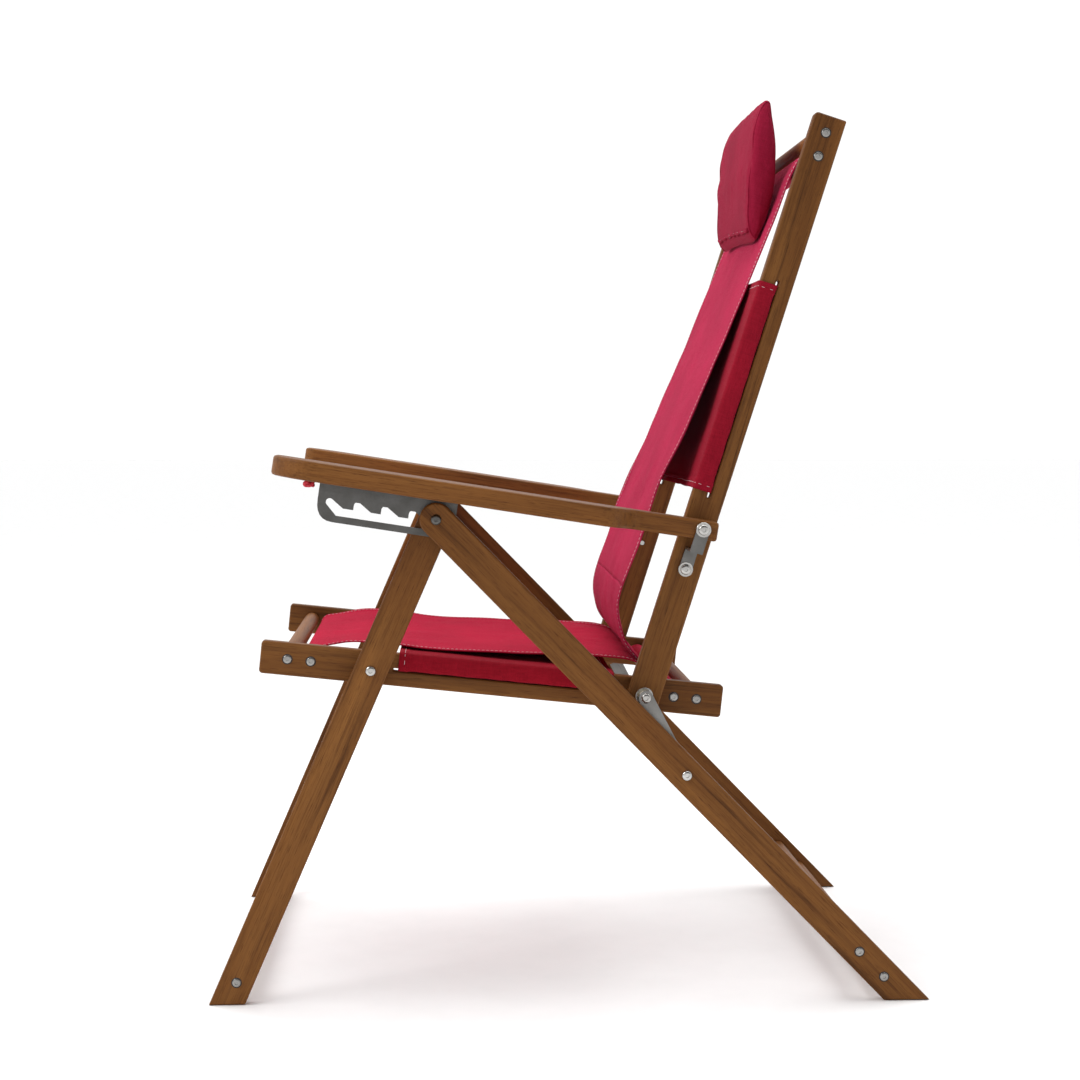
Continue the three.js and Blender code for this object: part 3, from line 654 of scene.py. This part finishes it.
# ---- Bands: drawn in (x, left) and run along the bars ----
def welt(bar, x, first, last, wild, sides=10, rows=48):
    """The rolled edge of a band where it lies inside its slot, with a slight twist and rounded ends."""
    points = []
    for r in range(rows):
        along = first + (last - first) * r / (rows - 1)
        end = min(1.0, (min(along - first, last - along) + 0.4) / 2.2) ** 0.5
        for k in range(sides):
            angle = 2 * math.pi * k / sides + 0.5 * rough(along, 0, 40, wild + 5)
            points.append(world(x + 3.6 * end * math.cos(angle), at(bar, along, 1.3 * end * math.sin(angle))))
    faces = []
    for r in range(rows - 1):
        near, far = r * sides, (r + 1) * sides
        faces += [(near + k, near + (k + 1) % sides, far + (k + 1) % sides, far + k) for k in range(sides)]
    faces.append(tuple(range(sides))[::-1])
    faces.append(tuple(range((rows - 1) * sides, rows * sides)))
    return points, faces


def band_cloth(name, bar, face, first, last, material, body, node, wild):
    outer = face + 15 + 0.95
    top = 19 + 0.95
    right = [(0, top), (60, top), (120, top), (180, top), (outer - 9, top), (outer - 3.2, top - 0.3),
             (outer - 0.9, top - 1.4), (outer, top - 4), (outer + 0.15, 12), (outer + 0.1, 6), (outer, 2.4),
             (outer - 0.9, 0.7), (outer - 2.6, 0.1), (outer - 8, 0)]
    line = spline([(-x, y) for x, y in right[:0:-1]] + right, 5.0)
    total = [0.0]
    for a, b in zip(line, line[1:]):
        total.append(total[-1] + (b - a).length)
    wide = last - first
    spots = [0, 1.2, 3, 5, 6.5, 8, 10, 12]
    inner = [14 + (wide - 28) * i / 30 for i in range(31)]
    rows = spots + inner + [wide - v for v in reversed(spots)]

    def point(i, v, extra=0.0):
        p = line[i]
        head = (line[min(i + 1, len(line) - 1)] - line[max(i - 1, 0)]).normalized()
        side = Vector((-head.y, head.x))
        edge = min(v, wide - v)
        lift = (0.75 * (1 - ease(edge, 10, 12)) - 0.45 * math.exp(-((edge - 6.5) / 1.6) ** 2))
        span = max(0.0, 1 - abs(p.x) / (face - 6))
        lift += min(1, span * 4) * (-2.0 * span + 1.3 * rough(p.x, v, 60, wild))
        down = max(0.0, min(1.0, (top - p.y) / 12))
        pucker = down * 0.7 * (0.5 + 0.5 * math.sin(v / 5.5 + 3 * rough(0, v, 40, wild + 1)))
        p = p + side * (lift + extra + pucker * 0.8)
        shrink = 1.5 * rough(p.x, 0, 50, wild + 2)
        return world(p.x, at(bar, first + v + shrink * (v / wide - 0.5), p.y))

    points = [point(i, v) for i in range(len(line)) for v in rows]
    n = len(rows)
    faces = [(i * n + k, (i + 1) * n + k, (i + 1) * n + k + 1, i * n + k + 1)
             for i in range(len(line) - 1) for k in range(n - 1)]
    obj = mesh_object(name, points, faces, material, 80)
    shell = obj.modifiers.new("thickness", "SOLIDIFY")
    shell.thickness = 0.0011
    shell.offset = 0
    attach(obj, body)
    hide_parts(node)
    marks = []
    for v in (6.5, wide - 6.5):
        s = 12.0
        while s + 4 < total[-1] - 12:
            i = next(k for k, t in enumerate(total) if t >= s)
            j = min(i + 1, len(line) - 1)
            a, b = point(i, v, 0.6), point(j, v, 0.6)
            marks.append((a, a + (b - a) * 0.8, (point(i, v, 1.6) - a).normalized()))
            s += 7.2
    sewn = stitched(f"{name}_stitches", marks)
    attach(sewn, body)
    for side, sign in SIDES:
        points, faces = welt(bar, sign * (face + 5.0), first + 0.6, last - 0.6, wild)
        roll = mesh_object(f"{side}_{name}_welt", points, faces, material, 80)
        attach(roll, body)


band_cloth("back_strap", STILE, 237, 247, 497, CANVAS_BAND, "back", "back_band", 20.0)
band_cloth("seat_strap", RAIL, 220, 31, 281, CANVAS_SEAT_BAND, "seat", "seat_band", 30.0)


# ---- Head pillow: a stuffed front panel sewn to a flat back, with sewn-in ends ----
PILLOW = [(562, 25), (570, 36), (598, 48), (628, 57), (660, 64), (690, 69.5), (708, 68), (716.5, 61.5),
          (704, 54), (680, 42), (656, 32.5), (622, 23), (590, 21.3)]
PILLOW_HALF = 139.0
pillow_line = spline(PILLOW + [PILLOW[0]], 4.0)[:-1]
middle = Vector((636, 42))


def pillow_point(i, x, extra=0.0):
    """The section shrinks at the ends, swells in the middle and gathers along the lower seam."""
    p = pillow_line[i % len(pillow_line)]
    out = p - middle
    near = abs(x) / PILLOW_HALF
    front = max(0.0, out.y + 6) / 26
    swell = (1 - near ** 4) * 3.2 * front
    gather = ease(620 - p.x, 0, 55) * (0.9 + 0.6 * math.sin(x / 8.5 + 3 * rough(0, x, 60, 41.0)))
    crush = 1.6 * rough(p.x * 0.7, x, 44, 42.0) + 0.9 * rough(p.x, x * 1.4, 19, 43.0)
    tuck = -2.6 * math.exp(-((PILLOW_HALF - abs(x)) / 7.0) ** 2)
    ripple = math.sin(p.x / 7.5 + 2 * rough(p.x, x, 50, 44.0))
    pull = 1.5 * math.exp(-((PILLOW_HALF - abs(x)) / 26.0) ** 2) * ripple
    lift = swell + crush * min(1.0, front + 0.35) + gather * 1.1 * front + tuck + pull * front + extra
    q = p + out.normalized() * lift
    sag = 9.0 * ease(x, -60, PILLOW_HALF) * ease(650 - p.x, 0, 70)
    return world(x, at(STILE, q.x - sag, q.y))


across = [PILLOW_HALF * v for v in (-1, -0.992, -0.975, -0.955, -0.93)]
across += [PILLOW_HALF * (-0.90 + 1.8 * i / 46) for i in range(47)]
across += [-v for v in across[4::-1]]
ring = len(pillow_line)
points = [pillow_point(i, x) for x in across for i in range(ring)]
faces = []
for k in range(len(across) - 1):
    for i in range(ring):
        j = (i + 1) % ring
        faces.append((k * ring + i, k * ring + j, (k + 1) * ring + j, (k + 1) * ring + i))
for k, sign in ((0, -1), (len(across) - 1, 1)):
    previous = [k * ring + i for i in range(ring)]
    for shrink, bulge in ((0.93, 1.2), (0.84, 3.4), (0.66, 5.4), (0.42, 6.4), (0.18, 6.8)):
        current = []
        for i in range(ring):
            p = middle + (pillow_line[i] - middle) * shrink
            wave = 1.0 * rough(p.x, p.y, 17, 45.0 + sign)
            current.append(len(points))
            points.append(world(sign * (PILLOW_HALF + bulge + wave), at(STILE, p.x, p.y)))
        for i in range(ring):
            j = (i + 1) % ring
            quad = (previous[i], previous[j], current[j], current[i])
            faces.append(quad if sign > 0 else quad[::-1])
        previous = current
    faces.append(tuple(previous) if sign > 0 else tuple(previous[::-1]))
pillow = mesh_object("pillow", points, faces, CANVAS_PILLOW, 75)
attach(pillow, "back")
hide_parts("head_pillow")

piping_points, piping_faces = [], []
for sign in (-1, 1):
    loop = [pillow_point(i, sign * (PILLOW_HALF - 0.5), 0.4) for i in range(ring)]
    more, sides = tube(loop, 0.0010, 8, closed=True)
    piping_faces += [tuple(v + len(piping_points) for v in f) for f in sides]
    piping_points += more
piping = mesh_object("pillow_piping", piping_points, piping_faces, CANVAS_PILLOW, 80)
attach(piping, "back")
low = min(range(ring), key=lambda i: (pillow_line[i] - Vector((572, 37))).length)
lip_line = [pillow_point(low, x, 0.6 + 0.9 * math.sin(x / 6.5 + 2 * rough(0, x, 40, 46.0)))
            for x in range(-134, 135, 2)]
lip = mesh_object("pillow_lip", *tube(lip_line, 0.0023, 10), CANVAS_PILLOW, 80)
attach(lip, "back")
marks = []
for x_first in range(-128, 126, 7):
    a, b = pillow_point(low + 1, x_first, 2.6), pillow_point(low + 1, x_first + 4, 2.6)
    up = pillow_point(low + 1, x_first + 2, 3.6) - pillow_point(low + 1, x_first + 2, 2.6)
    marks.append((a, b, up.normalized()))
pillow_thread = stitched("pillow_stitches", marks)
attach(pillow_thread, "back")


# ---- Cord knots under the armrests' front ends ----
for side, sign in SIDES:
    centre = world(sign * 262, at(ARM, -148, 17.5))
    loop = []
    for i in range(72):
        t = 2 * math.pi * i / 72
        x, y, z = math.sin(t) + 2 * math.sin(2 * t), math.cos(t) - 2 * math.cos(2 * t), -math.sin(3 * t)
        loop.append(centre + Vector((x * 1.55, y * 1.9, z * 1.9)) / 1000)
    points, faces = tube(loop, 0.0021, 8, closed=True)
    knot = mesh_object(f"{side}_knot", points, faces, RED_CORD)
    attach(knot, "armrests")
    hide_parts(f"{side}_cord_knot")

# ---- Floor, light and camera ----
floor_mesh = bpy.data.meshes.new("floor")
floor_mesh.from_pydata([(-30, -30, -0.0006), (30, -30, -0.0006), (30, 30, -0.0006), (-30, 30, -0.0006)], [],
                       [(0, 1, 2, 3)])
floor = bpy.data.objects.new("floor", floor_mesh)
bpy.context.scene.collection.objects.link(floor)
paper = Nodes("pale_paper")
speck = paper.noise(paper.coords(0, (14, 14, 14)), 1, 4, 0.6)
floor_mesh.materials.append(paper.finish(
    Base_Color=paper.ramp(speck, [(0.3, (0.92, 0.92, 0.92)), (0.7, (0.95, 0.95, 0.95))]), Roughness=0.9))

sky = bpy.data.worlds.new("studio")
bpy.context.scene.world = sky
sky.use_nodes = True
tree = sky.node_tree
direction = tree.nodes.new("ShaderNodeTexCoord")
split = tree.nodes.new("ShaderNodeSeparateXYZ")
tree.links.new(direction.outputs["Generated"], split.inputs[0])


def sky_range(source, low_in, high_in, low_out, high_out):
    node = tree.nodes.new("ShaderNodeMapRange")
    tree.links.new(source, node.inputs["Value"])
    ends = {"From Min": low_in, "From Max": high_in, "To Min": low_out, "To Max": high_out}
    for key, value in ends.items():
        node.inputs[key].default_value = value
    return node.outputs[0]


def sky_math(operation, a, b):
    node = tree.nodes.new("ShaderNodeMath")
    node.operation = operation
    for socket, value in zip(node.inputs, (a, b)):
        if isinstance(value, float):
            socket.default_value = value
        else:
            tree.links.new(value, socket)
    return node.outputs[0]


# The studio is white all round the horizon, brighter overhead, and dimmer high on the +X side.
high = sky_range(split.outputs[2], 0.24, 0.40, 0.0, 1.0)
dim = sky_math("MULTIPLY", high, sky_range(split.outputs[0], -0.1, 0.6, 0.0, 0.95))
wall = sky_math("SUBTRACT", 1.05, dim)
zenith = sky_range(split.outputs[2], 0.1, 0.9, 1.0, 1.55)
background = tree.nodes["Background"]
background.inputs[0].default_value = (1, 1, 1, 1)
tree.links.new(sky_math("MULTIPLY", wall, zenith), background.inputs[1])
bpy.context.scene.view_settings.view_transform = "Standard"


def area_light(name, where, aim, size, power):
    light = bpy.data.lights.new(name, "AREA")
    light.shape = "RECTANGLE"
    light.size, light.size_y = size
    light.energy = power
    obj = bpy.data.objects.new(name, light)
    obj.location = where
    obj.rotation_euler = (Vector(aim) - Vector(where)).to_track_quat("-Z", "Y").to_euler()
    bpy.context.scene.collection.objects.link(obj)
    return obj


area_light("key", (1.1, -2.6, 2.6), (0, 0, 0.45), (2.2, 1.6), 55)
area_light("overhead", (-0.3, 0.4, 3.4), (0, 0, 0.4), (2.6, 2.6), 40)

view = bpy.data.cameras.new("camera")
view.lens, view.sensor_width = 66.67, 36
camera = bpy.data.objects.new("camera", view)
bpy.context.scene.collection.objects.link(camera)
forward = Vector((-0.99687, 0.05059, -0.06071)).normalized()
right = forward.cross(Vector((0, 0, 1))).normalized()
up = right.cross(forward)
turn = Matrix((right, up, -forward)).transposed().to_4x4()
camera.matrix_world = Matrix.Translation((2.547, -0.1502, 0.6733)) @ turn
bpy.context.scene.camera = camera
